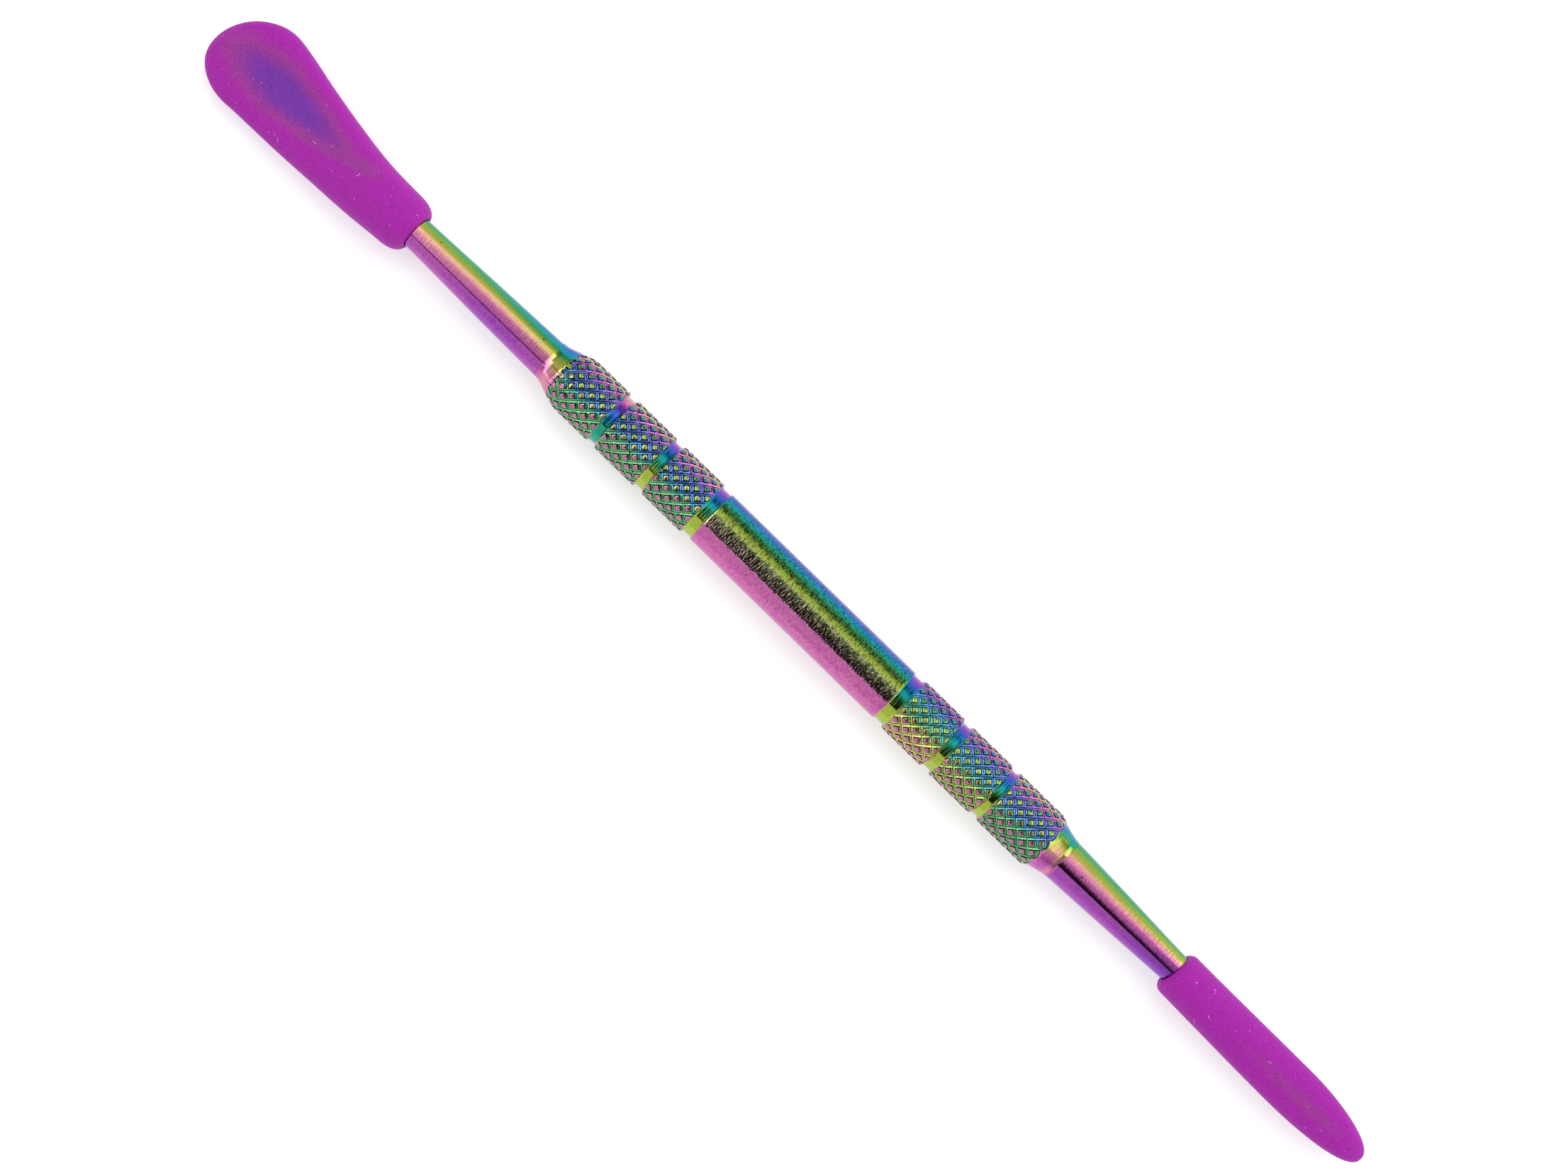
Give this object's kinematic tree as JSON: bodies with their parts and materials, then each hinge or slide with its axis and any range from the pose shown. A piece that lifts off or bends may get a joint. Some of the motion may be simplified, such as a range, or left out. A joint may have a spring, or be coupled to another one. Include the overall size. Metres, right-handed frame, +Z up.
{
  "type": "cuticle pusher",
  "caption": "Double-ended steel cuticle pusher with a knurled and grooved handle, a spoon end and a blade end, each under a pull-off silicone cap.",
  "frame": {"origin": "middle of the tool's outline, on the plane it lies on", "axes": "+X along the tool from the spoon towards the blade, +Z up from the plane, with the spoon's bowl facing +Z"},
  "size_m": [0.1302, 0.008, 0.0052],
  "materials": {
    "rainbow_steel": "stainless steel with a rainbow titanium coat that turns from blue and green to gold, pink and violet, satin with a fine grain",
    "purple_silicone": "satin translucent silicone"
  },
  "bodies": {
    "tool": {"handle": "rainbow_steel", "spoon_shank": "rainbow_steel", "blade_shank": "rainbow_steel"},
    "spoon_cap": {"spoon_cap": "purple_silicone"},
    "blade_cap": {"blade_cap": "purple_silicone"}
  },
  "joints": [
    {"name": "spoon_cap_pull", "type": "slide", "parent": "tool", "child": "spoon_cap", "axis": [-1, 0, 0], "range_m": [0, 0.026], "deforming": ["spoon_cap"]},
    {"name": "blade_cap_pull", "type": "slide", "parent": "tool", "child": "blade_cap", "axis": [1, 0, 0], "range_m": [0, 0.025]}
  ]
}
